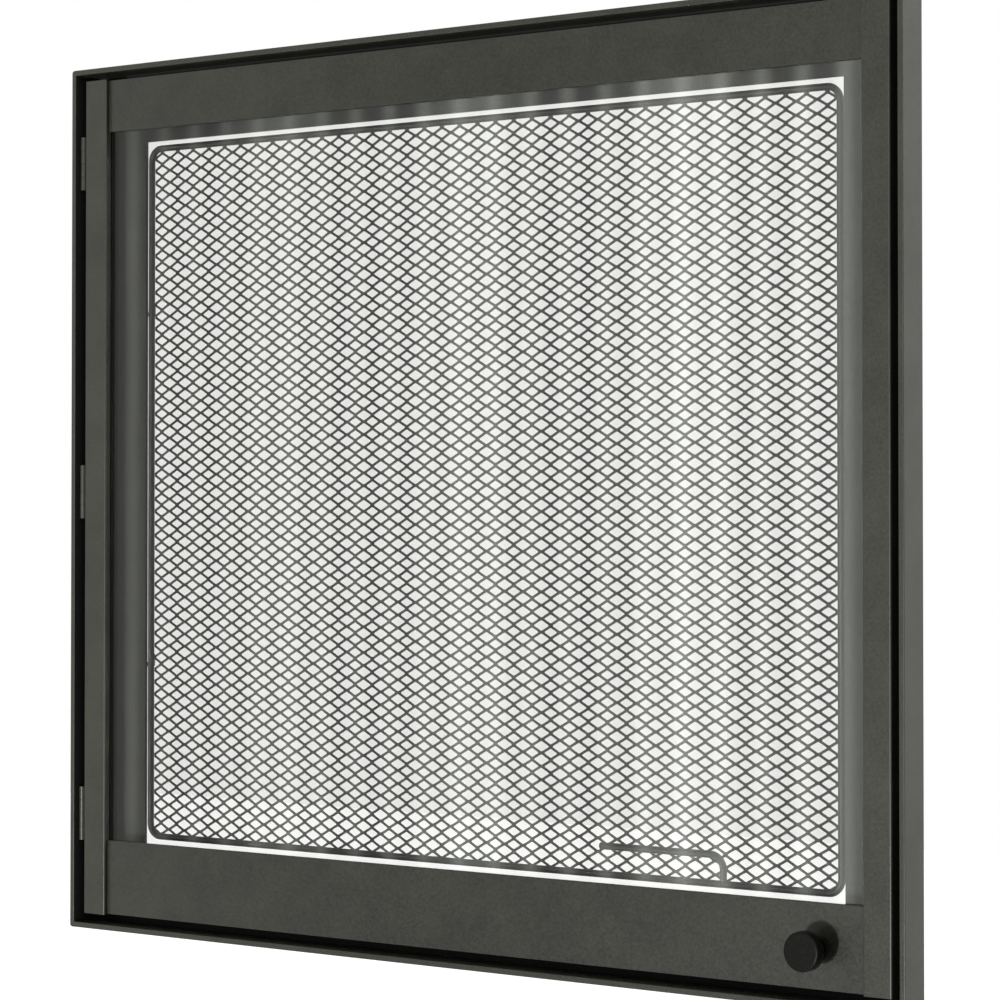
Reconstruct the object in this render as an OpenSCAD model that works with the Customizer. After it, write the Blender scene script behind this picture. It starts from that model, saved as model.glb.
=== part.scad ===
// Fireplace glass door: a flat-bar casing that stands on the chimney breast, a single
// glazed door on three butt hinges with a turning knob, and a lift-out spark screen.
// Millimetres. X runs to the right, Y into the fireplace and Z up. The origin is the
// centre of the wall fixing pattern, on the back face of the casing's back plate.

/* [Casing] */
// Width over the casing bars
casing_w = 900; // [700:5:1200]
// Height over the casing bars
casing_h = 810; // [600:5:1000]
// Thickness of the casing's flat bar, which shows as the thin front rim
bar_t = 5; // [3:0.5:8]
// Depth of the casing's flat bar
bar_d = 30; // [24:1:50]
// Thickness of the back plates
plate_t = 3; // [2:0.5:6]
// How far the back plates stop short of the casing's outside
plate_inset = 2; // [0.5:0.5:3]
// Casing outside to the rear opening, at the sides
plate_side_w = 70; // [50:1:110]
// Casing outside to the rear opening, at the top
plate_top_w = 70; // [60:1:110]
// Casing outside to the rear opening, at the bottom
plate_bottom_w = 77; // [60:1:110]
// Rounding of the casing's front edges
rim_round = 0.8; // [0.3:0.1:1.2]
// Rounding of the casing's four outer corners, ground off after welding
corner_round = 4; // [1:0.5:4.5]

/* [Wall fixings] */
// Distance from the casing's outside to a fixing hole, sideways
fixing_side = 30; // [22:1:40]
// Distance from the casing's outside to a fixing hole, up and down
fixing_end = 40; // [30:1:50]
// Diameter of a fixing hole
fixing_d = 7; // [5:0.5:10]

/* [Door frame] */
// Gap between the door and the casing at each side, where the hinges sit
gap_side = 9; // [8:0.5:14]
// Gap above the door
gap_top = 6; // [4:0.5:12]
// Gap under the door
gap_bottom = 8.5; // [4:0.5:12]
// Door front behind the casing's front edge
door_recess = 4; // [1:0.5:6]
// Width of the hinge stile
hinge_stile_w = 27; // [24:1:45]
// Width of the latch stile
latch_stile_w = 26; // [24:1:45]
// Wall of the stile angles
stile_t = 4; // [3:0.5:5]
// Height of the top rail
top_rail_h = 48.6; // [42:0.2:90]
// Height of the bottom rail
bottom_rail_h = 69; // [66:0.5:110]
// Sheet of the rails and of the glass seats
rail_t = 2; // [1.5:0.5:3]
// Rail ends set back from the stile ends
rail_setback = 0.8; // [0:0.1:2]
// Rounding of the stile edges
stile_round = 1.5; // [0.5:0.1:2]
// Rounding of the rail edges along the glass
rail_round = 0.7; // [0.3:0.1:1]
// Room between the door's back edge and the back plate, filled by the rope seal
seal_room = 6; // [4:0.5:10]

/* [Glass] */
// Thickness of the ceramic glass
glass_t = 4; // [3:0.5:5]
// Glass hidden behind each stile
glass_lap_side = 10; // [8:0.5:11]
// Glass hidden behind each rail
glass_lap_end = 8; // [6:0.5:12]
// Thickness of the woven tape round the glass edge
tape_t = 0.8; // [0.5:0.1:1]
// Width of the tape's legs
tape_w = 7; // [4:0.5:7]
// Thickness of the glass retainers
retainer_t = 3; // [2:0.5:4]
// Width of the glass retainers
retainer_w = 20; // [18:1:22]
// Screws along the top and along the bottom retainer
screws_across = 5; // [3:1:8]
// Screws up each side retainer
screws_up = 4; // [2:1:7]

/* [Hinges] */
// Length of a hinge
hinge_l = 50; // [40:1:80]
// Knuckles on a hinge
knuckles = 4; // [4:2:6]
// Barrel diameter
barrel_d = 7; // [6:0.5:7.5]
// Pin diameter
pin_d = 3.5; // [3:0.5:4]
// Leaf thickness
leaf_t = 2; // [1.5:0.5:2]
// Bottom of the door to the middle of the bottom hinge
hinge_low = 93.5; // [60:0.5:150]
// Bottom of the door to the middle of the middle hinge
hinge_mid = 397; // [300:1:500]
// Top of the door to the middle of the top hinge
hinge_top = 77.5; // [50:0.5:150]

/* [Latch] */
// Door's latch edge to the knob's axis
knob_in = 68.4; // [60:0.2:120]
// Casing's bottom to the knob's axis
knob_up = 47; // [45:0.5:52]
// Diameter of the knob's head
knob_d = 32; // [24:1:40]
// Thickness of the knob's head
knob_head_l = 10; // [6:0.5:14]
// Knob front to the face of the bottom rail
knob_reach = 28; // [22:0.5:40]
// Diameter of the knob's neck
knob_neck_d = 13; // [12:0.5:18]
// Diameter of the knob's foot
knob_foot_d = 19; // [16:0.5:24]
// Diameter of the spindle
spindle_d = 8; // [7:0.5:10]
// Knob axis to the tip of the latch tongue
cam_reach = 24.4; // [22:0.2:25]
// Width of the latch tongue
cam_w = 14; // [10:0.5:16]

/* [Spark screen] */
// Diameter of the screen's frame rod
rod_d = 6; // [4:0.5:8]
// Gap between the screen and the rear opening at each side
screen_gap_side = 2; // [1:0.5:6]
// How far the screen hangs to the right of the rear opening's middle
screen_off = 0.5; // [-0.8:0.1:0.8]
// Gap above the screen, which lets it lift off its hooks
screen_gap_top = 4; // [4:0.5:10]
// Gap below the screen
screen_gap_bottom = 7.8; // [4:0.2:12]
// Corner bend of the screen rod, on its centre line
rod_bend = 12; // [8:0.5:40]
// Thickness of the sheet that stands for the expanded mesh, at the mesh's own weight
mesh_t = 0.5; // [0.3:0.1:2]
// Length of the pull's straight bar
pull_l = 122; // [80:1:200]
// Right side of the casing to the pull's leg
pull_side = 186.5; // [120:0.5:260]
// Height of the pull over the bottom rod, centre to centre
pull_h = 23.7; // [18:0.1:40]
// Casing's bottom to the lower pair of hooks
hook_low = 250; // [150:5:320]
// Casing's bottom to the upper pair of hooks
hook_high = 580; // [420:5:600]

/* [Fit] */
// Clearance between pieces that pass or seat on each other
seat_gap = 0.3; // [0.2:0.05:0.5]
// Radial clearance of pins, spindle and screws in their holes
fit_gap = 0.05; // [0.02:0.01:0.1]

/* [Hidden] */
$fn = 48;

// Casing planes
plate_front = -plate_t;
casing_front = -plate_t - bar_d;
half_w = casing_w / 2;
half_h = casing_h / 2;
inner_x = half_w - bar_t;
inner_z = half_h - bar_t;
open_x = half_w - plate_side_w;
open_top = half_h - plate_top_w;
open_bottom = -half_h + plate_bottom_w;

// Door planes, front to back
stile_front = casing_front + door_recess;
rail_front = stile_front + stile_t;
rail_back = rail_front + rail_t;
glass_front = rail_back + tape_t;
glass_back = glass_front + glass_t;
tape_back = glass_back + tape_t;
retainer_back = tape_back + retainer_t;
door_back = plate_front - seal_room;

// Door outline
door_x = inner_x - gap_side;
door_top = inner_z - gap_top;
door_bottom = -inner_z + gap_bottom;
view_left = -door_x + hinge_stile_w;
view_right = door_x - latch_stile_w;
rail_top = door_top - rail_setback;
rail_bottom = door_bottom + rail_setback;
view_top = rail_top - top_rail_h;
view_bottom = rail_bottom + bottom_rail_h;

// Glass outline
glass_left = view_left - glass_lap_side;
glass_right = view_right + glass_lap_side;
glass_high = view_top + glass_lap_end;
glass_low = view_bottom - glass_lap_end;

// Retainers start just outside the visible glass and carry M4 screws
retainer_in = 2.2;
screw_d = 4;
screw_head_d = 8;
screw_head_l = 2.8;
socket_af = 2.5;
socket_deep = 1.4;
boss_d = 8;
boss_off = tape_t + 4.2 + boss_d / 2;
boss_side_off = boss_d / 2 + 2;
screw_end_gap = 0.6;

// Hinges sit in the side gap, with the barrel flush with the door's front
axis_x = -inner_x + gap_side / 2;
axis_y = stile_front + barrel_d / 2;
knuckle_gap = 0.3;
leaf_start = axis_y + barrel_d / 2 + 0.8;
leaf_end = door_back - 0.7;
hinge_zs = [door_bottom + hinge_low, door_bottom + hinge_mid, door_top - hinge_top];
leaf_screw_z = 15;
csk_d = 7;
screw_tip_gap = 0.4;

// Latch, worked out from the back plate forwards
knob_x = door_x - knob_in;
knob_z = -half_h + knob_up;
nut_l = 3.3;
nut_af = 8;
washer_d = 10;
washer_t = 1;
cam_t = 3;
stud_d = 5;
square_af = 5.6;
stack_gap = 0.1;
stud_end = plate_front - 2.3;
nut_back = stud_end - 0.7;
nut_front = nut_back - nut_l;
washer_back = nut_front - stack_gap;
washer_front = washer_back - washer_t;
cam_back = washer_front - stack_gap;
cam_front = cam_back - cam_t;
bush_back = cam_front - seat_gap;
bush_d = 16;
knob_front = rail_front - knob_reach;
knob_back = rail_front - seat_gap;
spindle_in_knob = 14;
grub_d = 4;
keeper_t = 3;
keeper_w = 18;
catch_h = 14;
catch_back = cam_front - 0.7;
catch_front = catch_back - keeper_t;

// Rope seal, glued to the back plate round the door's back edges
rope_d = seal_room - 2 * seat_gap;
rope_y = plate_front - seal_room / 2;
rope_x = door_x - stile_t / 2;
rope_top = rail_top - rail_t / 2;
rope_bottom = rail_bottom + rail_t / 2;
rope_bend = 8;

// Screen
rod_y = rod_d / 2 - 3.8;
rod_x = open_x - screen_gap_side - rod_d / 2;
rod_top = open_top - screen_gap_top - rod_d / 2;
rod_bottom = open_bottom + screen_gap_bottom + rod_d / 2;
mesh_y = rod_y + rod_d / 2;
mesh_inset = rod_d / 4;
pull_x = half_w - pull_side;
pull_z = rod_bottom + pull_h;

// Hook plates on the screen's side rods drop over lugs on the back of the casing
lug_front = rod_y + rod_d / 2 + 0.2;
lug_t = 2;
lug_h = 16;
lug_finger_h = 4;
lug_in = 5;
lug_out = 15;
hook_t = 2.6;
hook_leg = 1.5;
hook_drop = 3.3;
hook_rise = 8;
hook_x = rod_x + rod_d / 2 - 1.4;
hook_zs = [-half_h + hook_low, -half_h + hook_high];

steel = "#4a4a44";
dark_steel = "#2c2c2a";
knob_black = "#242422";
glass_tint = "#8a9090";
fibre = "#5a5a56";

// ---------------------------------------------------------------- shared shapes

// A block between two opposite corners.
module block(lo, hi) {
    translate(lo)
        cube(hi - lo);
}

// What a rounding of radius r takes off a corner at the origin that fills the
// quadrant towards sx, sy.
module corner_waste(r, sx, sy) {
    scale_x = sx > 0 ? 0 : 1;
    scale_y = sy > 0 ? 0 : 1;
    mirror([scale_x, 0])
        mirror([0, scale_y])
            difference() {
                translate([-1, -1])
                    square(r + 1);
                translate([r, r])
                    circle(r);
            }
}

// A rectangle between two corners with its two corners at y = lo[1] rounded.
module front_rounded(lo, hi, r_left, r_right) {
    difference() {
        translate(lo)
            square(hi - lo);
        if (r_left > 0)
            translate(lo)
                corner_waste(r_left, 1, 1);
        if (r_right > 0)
            translate([hi[0], lo[1]])
                corner_waste(r_right, -1, 1);
    }
}

// A cylinder along Y between two depths.
module rod_y_between(d, x, z, y0, y1) {
    translate([x, y0, z])
        rotate([-90, 0, 0])
            cylinder(d = d, h = y1 - y0);
}

// A cylinder along X between two places.
module rod_x_between(d, y, z, x0, x1) {
    translate([x0, y, z])
        rotate([0, 90, 0])
            cylinder(d = d, h = x1 - x0);
}

// A closed rectangle of round bar in the XZ plane with bent corners.
module rod_ring(d, bend, x, z0, z1, y) {
    for (sx = [-1, 1])
        translate([sx * x, y, z0 + bend])
            cylinder(d = d, h = z1 - z0 - 2 * bend);
    for (z = [z0, z1])
        rod_x_between(d, y, z, -x + bend, x - bend);
    for (corner = [[1, 1, 0], [-1, 1, 90], [-1, -1, 180], [1, -1, 270]])
        translate([corner[0] * (x - bend), y, corner[1] > 0 ? z1 - bend : z0 + bend])
            rotate([90, 0, 0])
                rotate([0, 0, corner[2]])
                    rotate_extrude(angle = 90)
                        translate([bend, 0])
                            circle(d = d);
}

// ---------------------------------------------------------------- casing

// One mitred casing bar of full length l, along X, with its outside face at z = 0
// and the bar below it.
module casing_bar(l) {
    color(steel)
        intersection() {
            translate([-l / 2, 0, 0])
                rotate([90, 0, 90])
                    linear_extrude(l)
                        rotate(-90)
                            front_rounded([0, casing_front], [bar_t, plate_front],
                                          rim_round, rim_round);
            translate([0, 1, 0])
                rotate([90, 0, 0])
                    linear_extrude(bar_d + plate_t + 2)
                        difference() {
                            polygon([[-l / 2, 0], [l / 2, 0],
                                     [l / 2 - bar_t, -bar_t], [-l / 2 + bar_t, -bar_t]]);
                            translate([-l / 2, 0])
                                corner_waste(corner_round, 1, -1);
                            translate([l / 2, 0])
                                corner_waste(corner_round, -1, -1);
                        }
        }
}

module casing_top() {
    translate([0, 0, half_h])
        casing_bar(casing_w);
}

module casing_bottom() {
    translate([0, 0, -half_h])
        rotate([0, 180, 0])
            casing_bar(casing_w);
}

module casing_right() {
    translate([half_w, 0, 0])
        rotate([0, 90, 0])
            casing_bar(casing_h);
}

module casing_left() {
    difference() {
        translate([-half_w, 0, 0])
            rotate([0, -90, 0])
                casing_bar(casing_h);
        leaf_screw_holes(-inner_x - (bar_t - screw_tip_gap), -inner_x + 1);
    }
}

module plate_block(lo, hi) {
    color(steel)
        block([lo[0], plate_front, lo[1]], [hi[0], 0, hi[1]]);
}

module fixing_holes(z) {
    for (sx = [-1, 1])
        rod_y_between(fixing_d, sx * (half_w - fixing_side), z, plate_front - 1, 1);
}

module back_plate_top() {
    difference() {
        plate_block([-half_w + plate_inset, open_top],
                    [half_w - plate_inset, half_h - plate_inset]);
        fixing_holes(half_h - fixing_end);
    }
}

module back_plate_bottom() {
    difference() {
        plate_block([-half_w + plate_inset, -half_h + plate_inset],
                    [half_w - plate_inset, open_bottom]);
        fixing_holes(-half_h + fixing_end);
    }
}

module back_plate_left() {
    plate_block([-half_w + plate_inset, open_bottom], [-open_x, open_top]);
}

module back_plate_right() {
    plate_block([open_x, open_bottom], [half_w - plate_inset, open_top]);
}

module door_rope_seal() {
    color(fibre)
        rod_ring(rope_d, rope_bend, rope_x, rope_bottom, rope_top, rope_y);
}

// A J-shaped keeper on the back plate; the latch tongue turns down behind its catch.
module latch_keeper() {
    low = knob_z - cam_reach - 0.6 - keeper_t;
    base_h = catch_h + keeper_t;
    color(steel)
        union() {
            block([knob_x - keeper_w / 2, plate_front - keeper_t, low],
                  [knob_x + keeper_w / 2, plate_front, low + base_h]);
            block([knob_x - keeper_w / 2, catch_front, low],
                  [knob_x + keeper_w / 2, plate_front, low + keeper_t]);
            block([knob_x - keeper_w / 2, catch_front, low],
                  [knob_x + keeper_w / 2, catch_back, low + catch_h]);
        }
}

// Four stepped lugs on the back of the casing, with a slim finger for each screen hook.
module screen_lugs() {
    color(steel)
        for (side = [0, 1])
            mirror([side, 0, 0])
                for (z = hook_zs)
                    union() {
                        block([open_x + lug_in, 0, z - lug_h],
                              [open_x + lug_out, lug_front + lug_t, z]);
                        block([hook_x - 0.6 + (1 - 2 * side) * screen_off, lug_front,
                               z - lug_finger_h],
                              [open_x + lug_in + 1, lug_front + lug_t, z]);
                    }
}

// ---------------------------------------------------------------- hinges

// Height of one knuckle and the bottom of knuckle k, counted from the hinge's middle.
knuckle_h = (hinge_l - (knuckles - 1) * knuckle_gap) / knuckles;
function knuckle_z(k) = -hinge_l / 2 + k * (knuckle_h + knuckle_gap);

// A leaf with its knuckles, every second one from the first, in the hinge's own frame:
// barrel axis at the origin, leaf plate on the +X side.
module hinge_leaf(first) {
    outer = gap_side / 2;
    difference() {
        union() {
            block([outer - leaf_t, leaf_start - axis_y, -hinge_l / 2],
                  [outer, leaf_end - axis_y, hinge_l / 2]);
            for (k = [first:2:knuckles - 1])
                translate([0, 0, knuckle_z(k)]) {
                    cylinder(d = barrel_d, h = knuckle_h);
                    block([outer - leaf_t, 0, 0],
                          [outer, leaf_start - axis_y + 0.5, knuckle_h]);
                }
        }
        translate([0, 0, -hinge_l])
            cylinder(d = pin_d + 2 * fit_gap, h = 2 * hinge_l);
        for (sz = [-1, 1])
            translate([outer - leaf_t, leaf_screw_y - axis_y, sz * leaf_screw_z])
                countersink(leaf_t);
    }
}

leaf_screw_y = (leaf_start + leaf_end) / 2;

// A countersunk hole that opens towards -X and runs t deep to +X.
module countersink(t) {
    rotate([0, 90, 0])
        union() {
            translate([0, 0, -0.01])
                cylinder(d1 = csk_d + 2 * fit_gap, d2 = screw_d + 2 * fit_gap, h = t + 0.01);
            translate([0, 0, t - 0.5])
                cylinder(d = screw_d + 2 * fit_gap, h = 1);
        }
}

// The clearance holes that the leaf screws need in a wall between two X places.
module leaf_screw_holes(x0, x1) {
    for (z = hinge_zs)
        for (sz = [-1, 1])
            rod_x_between(screw_d + 2 * fit_gap, leaf_screw_y, z + sz * leaf_screw_z, x0, x1);
}

// A countersunk screw with its head at the origin, pointing to +X.
module csk_screw(l) {
    rotate([0, 90, 0])
        difference() {
            union() {
                cylinder(d1 = csk_d, d2 = screw_d, h = leaf_t);
                cylinder(d = screw_d, h = l);
            }
            translate([0, 0, -1])
                cylinder(d = socket_af / cos(30), h = socket_deep + 1, $fn = 6);
        }
}

module leaf_casing(z) {
    color(dark_steel)
        translate([axis_x, axis_y, z])
            mirror([1, 0, 0])
                hinge_leaf(0);
}

module leaf_door(z) {
    color(dark_steel)
        translate([axis_x, axis_y, z])
            hinge_leaf(1);
}

module hinge_pin(z) {
    color(dark_steel)
        translate([axis_x, axis_y, z - hinge_l / 2 - 0.3])
            cylinder(d = pin_d, h = hinge_l + 0.6);
}

module hinge_leaf_casing_low() { leaf_casing(hinge_zs[0]); }
module hinge_leaf_casing_mid() { leaf_casing(hinge_zs[1]); }
module hinge_leaf_casing_top() { leaf_casing(hinge_zs[2]); }
module hinge_leaf_door_low() { leaf_door(hinge_zs[0]); }
module hinge_leaf_door_mid() { leaf_door(hinge_zs[1]); }
module hinge_leaf_door_top() { leaf_door(hinge_zs[2]); }
module hinge_pin_low() { hinge_pin(hinge_zs[0]); }
module hinge_pin_mid() { hinge_pin(hinge_zs[1]); }
module hinge_pin_top() { hinge_pin(hinge_zs[2]); }

module hinge_screws_casing() {
    color(dark_steel)
        for (z = hinge_zs)
            for (sz = [-1, 1])
                translate([-inner_x + leaf_t, leaf_screw_y, z + sz * leaf_screw_z])
                    mirror([1, 0, 0])
                        csk_screw(leaf_t + bar_t - 2 * screw_tip_gap);
}

module hinge_screws_door() {
    color(dark_steel)
        for (z = hinge_zs)
            for (sz = [-1, 1])
                translate([-door_x - leaf_t, leaf_screw_y, z + sz * leaf_screw_z])
                    csk_screw(leaf_t + stile_t - screw_tip_gap);
}

// ---------------------------------------------------------------- door frame

// An angle stile of width w with its outside face at x = 0 and its front flange
// running to +X.
module stile(w) {
    color(steel)
        translate([0, 0, door_bottom])
            linear_extrude(door_top - door_bottom)
                union() {
                    front_rounded([0, stile_front], [w, rail_front],
                                  stile_round, stile_round);
                    translate([0, rail_front - 0.5])
                        square([stile_t, door_back - rail_front + 0.5]);
                }
}

module hinge_stile() {
    difference() {
        translate([-door_x, 0, 0])
            stile(hinge_stile_w);
        leaf_screw_holes(-door_x - 1, -door_x + stile_t + 1);
    }
}

module latch_stile() {
    translate([door_x, 0, 0])
        mirror([1, 0, 0])
            stile(latch_stile_w);
}

// A folded rail of height h with its outer edge at z = 0 and the face below it.
module rail(h) {
    l = 2 * (door_x - stile_t);
    color(steel)
        translate([-l / 2, 0, 0])
            rotate([90, 0, 90])
                linear_extrude(l)
                    rotate(-90)
                        union() {
                            front_rounded([0, rail_front], [h, rail_back],
                                          0, rail_round);
                            translate([0, rail_front])
                                square([rail_t, door_back - rail_front]);
                        }
}

module top_rail() {
    translate([0, 0, rail_top])
        rail(top_rail_h);
}

module bottom_rail() {
    difference() {
        translate([0, 0, rail_bottom])
            rotate([0, 180, 0])
                rail(bottom_rail_h);
        rod_y_between(spindle_d + 4 * fit_gap, knob_x, knob_z, rail_front - 1, rail_back + 1);
    }
}

module glass_seat_left() {
    color(steel)
        block([-door_x + stile_t, rail_front, view_bottom], [view_left, rail_back, view_top]);
}

module glass_seat_right() {
    color(steel)
        block([view_right, rail_front, view_bottom], [door_x - stile_t, rail_back, view_top]);
}

// ---------------------------------------------------------------- glazing

module glass_pane() {
    color(glass_tint, 0.35)
        block([glass_left, glass_front, glass_low], [glass_right, glass_back, glass_high]);
}

// Woven tape folded round the glass edge.
module glass_tape() {
    color(fibre)
        difference() {
            block([glass_left - tape_t, rail_back, glass_low - tape_t],
                  [glass_right + tape_t, tape_back, glass_high + tape_t]);
            block([glass_left, glass_front, glass_low], [glass_right, glass_back, glass_high]);
            block([glass_left + tape_w, rail_back - 1, glass_low + tape_w],
                  [glass_right - tape_w, tape_back + 1, glass_high - tape_w]);
        }
}

// Screw places: [x, z] along the top, the bottom and up the two sides.
screw_top_z = glass_high + boss_off;
screw_bottom_z = glass_low - boss_off;
screw_left_x = -door_x + stile_t + boss_side_off;
screw_right_x = door_x - stile_t - boss_side_off;
across_span = glass_right - glass_left - 80;
up_span = glass_high - glass_low - 120;
function across_x(i) = glass_left + 40 + across_span * i / (screws_across - 1);
function up_z(i) = glass_low + 60 + up_span * i / (screws_up - 1);
screws_top = [for (i = [0:screws_across - 1]) [across_x(i), screw_top_z]];
screws_bottom = [for (i = [0:screws_across - 1]) [across_x(i), screw_bottom_z]];
screws_left = [for (i = [0:screws_up - 1]) [screw_left_x, up_z(i)]];
screws_right = [for (i = [0:screws_up - 1]) [screw_right_x, up_z(i)]];

// A flat retainer between two corners, drilled for its screws.
module retainer(lo, hi, places) {
    color(dark_steel)
        difference() {
            block([lo[0], tape_back, lo[1]], [hi[0], retainer_back, hi[1]]);
            for (p = places)
                rod_y_between(screw_d + 6 * fit_gap, p[0], p[1], tape_back - 1, retainer_back + 1);
        }
}

module retainer_top() {
    retainer([view_left - retainer_in, view_top + retainer_in],
             [view_right + retainer_in, view_top + retainer_in + retainer_w], screws_top);
}

module retainer_bottom() {
    retainer([view_left - retainer_in, view_bottom - retainer_in - retainer_w],
             [view_right + retainer_in, view_bottom - retainer_in], screws_bottom);
}

module retainer_left() {
    retainer([-door_x + stile_t + 1, view_bottom - retainer_in],
             [view_left - retainer_in, view_top + retainer_in], screws_left);
}

module retainer_right() {
    retainer([view_right + retainer_in, view_bottom - retainer_in],
             [door_x - stile_t - 1, view_top + retainer_in], screws_right);
}

all_screws = concat(screws_top, screws_bottom, screws_left, screws_right);

// Tapped bosses behind the frame that the retainers are screwed to.
module retainer_bosses() {
    color(dark_steel)
        for (p = all_screws)
            difference() {
                rod_y_between(boss_d, p[0], p[1], rail_back, tape_back);
                rod_y_between(screw_d + 2 * fit_gap, p[0], p[1], rail_back - 1, tape_back + 1);
            }
}

module retainer_screws() {
    color(dark_steel)
        for (p = all_screws)
            difference() {
                union() {
                    rod_y_between(screw_d, p[0], p[1], rail_back + screw_end_gap, retainer_back);
                    rod_y_between(screw_head_d, p[0], p[1],
                                  retainer_back, retainer_back + screw_head_l);
                }
                translate([p[0], retainer_back + screw_head_l - socket_deep, p[1]])
                    rotate([-90, 0, 0])
                        cylinder(d = socket_af / cos(30), h = socket_deep + 1, $fn = 6);
            }
}

// ---------------------------------------------------------------- latch

// A bush behind the bottom rail that guides the spindle.
module latch_bush() {
    color(dark_steel)
        difference() {
            rod_y_between(bush_d, knob_x, knob_z, rail_back, bush_back);
            rod_y_between(spindle_d + 2 * fit_gap, knob_x, knob_z, rail_back - 1, bush_back + 1);
        }
}

// Half profile of the knob: head, neck and foot, along +Y of the profile from the front.
module knob_profile() {
    l = knob_back - knob_front;
    foot_t = 2.2;
    difference() {
        union() {
            front_rounded([0, 0], [knob_d / 2, knob_head_l / 2], 0, 1.6);
            mirror([0, 1])
                translate([0, -knob_head_l])
                    front_rounded([0, 0], [knob_d / 2, knob_head_l / 2 + 0.01], 0, 0.8);
            square([knob_neck_d / 2, l]);
            translate([0, l - foot_t])
                front_rounded([0, 0], [knob_foot_d / 2, foot_t], 0, 0.8);
        }
        translate([-1, l - spindle_in_knob])
            square([1 + spindle_d / 2 + fit_gap, spindle_in_knob + 1]);
    }
}

module knob() {
    color(knob_black)
        difference() {
            translate([knob_x, knob_front, knob_z])
                rotate([-90, 0, 0])
                    rotate_extrude()
                        knob_profile();
            translate([knob_x, grub_y, knob_z - knob_neck_d])
                cylinder(d = grub_d + 2 * fit_gap, h = knob_neck_d);
        }
}

grub_y = knob_back - 7.5;

// The grub screw under the neck that pinches the spindle.
module knob_grub_screw() {
    color(dark_steel)
        translate([knob_x, grub_y, knob_z])
            difference() {
                translate([0, 0, -knob_neck_d / 2 + 0.3])
                    cylinder(d = grub_d, h = (knob_neck_d - spindle_d) / 2 - 0.4);
                translate([0, 0, -knob_neck_d / 2 - 1])
                    cylinder(d = 2 / cos(30), h = 2.2, $fn = 6);
            }
}

// Round through the bush, square through the tongue, threaded at the end.
module knob_spindle() {
    color(dark_steel)
        union() {
            rod_y_between(spindle_d, knob_x, knob_z,
                          knob_back - spindle_in_knob + 0.5, bush_back + 0.1);
            translate([knob_x - square_af / 2, bush_back - 1, knob_z - square_af / 2])
                cube([square_af, washer_front - bush_back + 1, square_af]);
            rod_y_between(stud_d, knob_x, knob_z, washer_front - 1, stud_end);
        }
}

// The tongue points to +X at rest, clear of the keeper, and turns down to lock.
module latch_cam() {
    color(dark_steel)
        translate([knob_x, cam_back, knob_z])
            rotate([90, 0, 0])
                linear_extrude(cam_t)
                    difference() {
                        union() {
                            circle(d = bush_d);
                            translate([0, -cam_w / 2])
                                square([cam_reach - cam_w / 2, cam_w]);
                            translate([cam_reach - cam_w / 2, 0])
                                circle(d = cam_w);
                        }
                        square(square_af + 2 * fit_gap, center = true);
                    }
}

module spindle_washer() {
    color(dark_steel)
        difference() {
            rod_y_between(washer_d, knob_x, knob_z, washer_front, washer_back);
            rod_y_between(stud_d + 2 * fit_gap, knob_x, knob_z, washer_front - 1, washer_back + 1);
        }
}

module spindle_nut() {
    color(dark_steel)
        difference() {
            translate([knob_x, nut_front, knob_z])
                rotate([-90, 0, 0])
                    cylinder(d = nut_af / cos(30), h = nut_l, $fn = 6);
            rod_y_between(stud_d + 2 * fit_gap, knob_x, knob_z, nut_front - 1, nut_back + 1);
        }
}

// ---------------------------------------------------------------- spark screen

module screen_frame() {
    color(dark_steel)
        translate([screen_off, 0, 0])
            rod_ring(rod_d, rod_bend, rod_x, rod_bottom, rod_top, rod_y);
}

// The expanded mesh as a plain sheet, on the back of the rods.
module screen_mesh() {
    color("#3c3c3a")
        translate([screen_off, 0, 0])
            block([-rod_x + mesh_inset, mesh_y, rod_bottom + mesh_inset],
                  [rod_x - mesh_inset, mesh_y + mesh_t, rod_top - mesh_inset]);
}

// An L-shaped pull of the same rod, on the bottom rod and against the mesh.
module screen_pull() {
    color(dark_steel)
        union() {
            translate([pull_x, rod_y, rod_bottom + rod_d / 2])
                cylinder(d = rod_d, h = pull_h - rod_bend - rod_d / 2);
            translate([pull_x - rod_bend, rod_y, pull_z - rod_bend])
                rotate([90, 0, 0])
                    rotate_extrude(angle = 90)
                        translate([rod_bend, 0])
                            circle(d = rod_d);
            rod_x_between(rod_d, rod_y, pull_z, pull_x - pull_l, pull_x - rod_bend);
        }
}

// J-shaped hook plates on the outer back of the side rods, coped round the rod.
module screen_hooks() {
    back = lug_front + lug_t + seat_gap + hook_leg;
    color(dark_steel)
        translate([screen_off, 0, 0])
            for (side = [0, 1])
                mirror([side, 0, 0])
                    for (z = hook_zs)
                        difference() {
                            union() {
                                block([hook_x, rod_y, z + seat_gap],
                                      [hook_x + hook_t, back, z + hook_rise]);
                                block([hook_x, back - hook_leg, z - hook_drop],
                                      [hook_x + hook_t, back, z + hook_rise]);
                            }
                            translate([rod_x, rod_y, z - 20])
                                cylinder(d = rod_d + 2 * fit_gap, h = 40);
                        }
}

casing_top();
casing_bottom();
casing_left();
casing_right();
back_plate_top();
back_plate_bottom();
back_plate_left();
back_plate_right();
hinge_leaf_casing_low();
hinge_leaf_casing_mid();
hinge_leaf_casing_top();
hinge_pin_low();
hinge_pin_mid();
hinge_pin_top();
hinge_screws_casing();
latch_keeper();
door_rope_seal();
screen_lugs();
hinge_stile();
latch_stile();
top_rail();
bottom_rail();
glass_seat_left();
glass_seat_right();
glass_pane();
glass_tape();
retainer_top();
retainer_bottom();
retainer_left();
retainer_right();
retainer_bosses();
retainer_screws();
hinge_leaf_door_low();
hinge_leaf_door_mid();
hinge_leaf_door_top();
hinge_screws_door();
latch_bush();
knob();
knob_spindle();
knob_grub_screw();
latch_cam();
spindle_washer();
spindle_nut();
screen_frame();
screen_mesh();
screen_pull();
screen_hooks();
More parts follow.
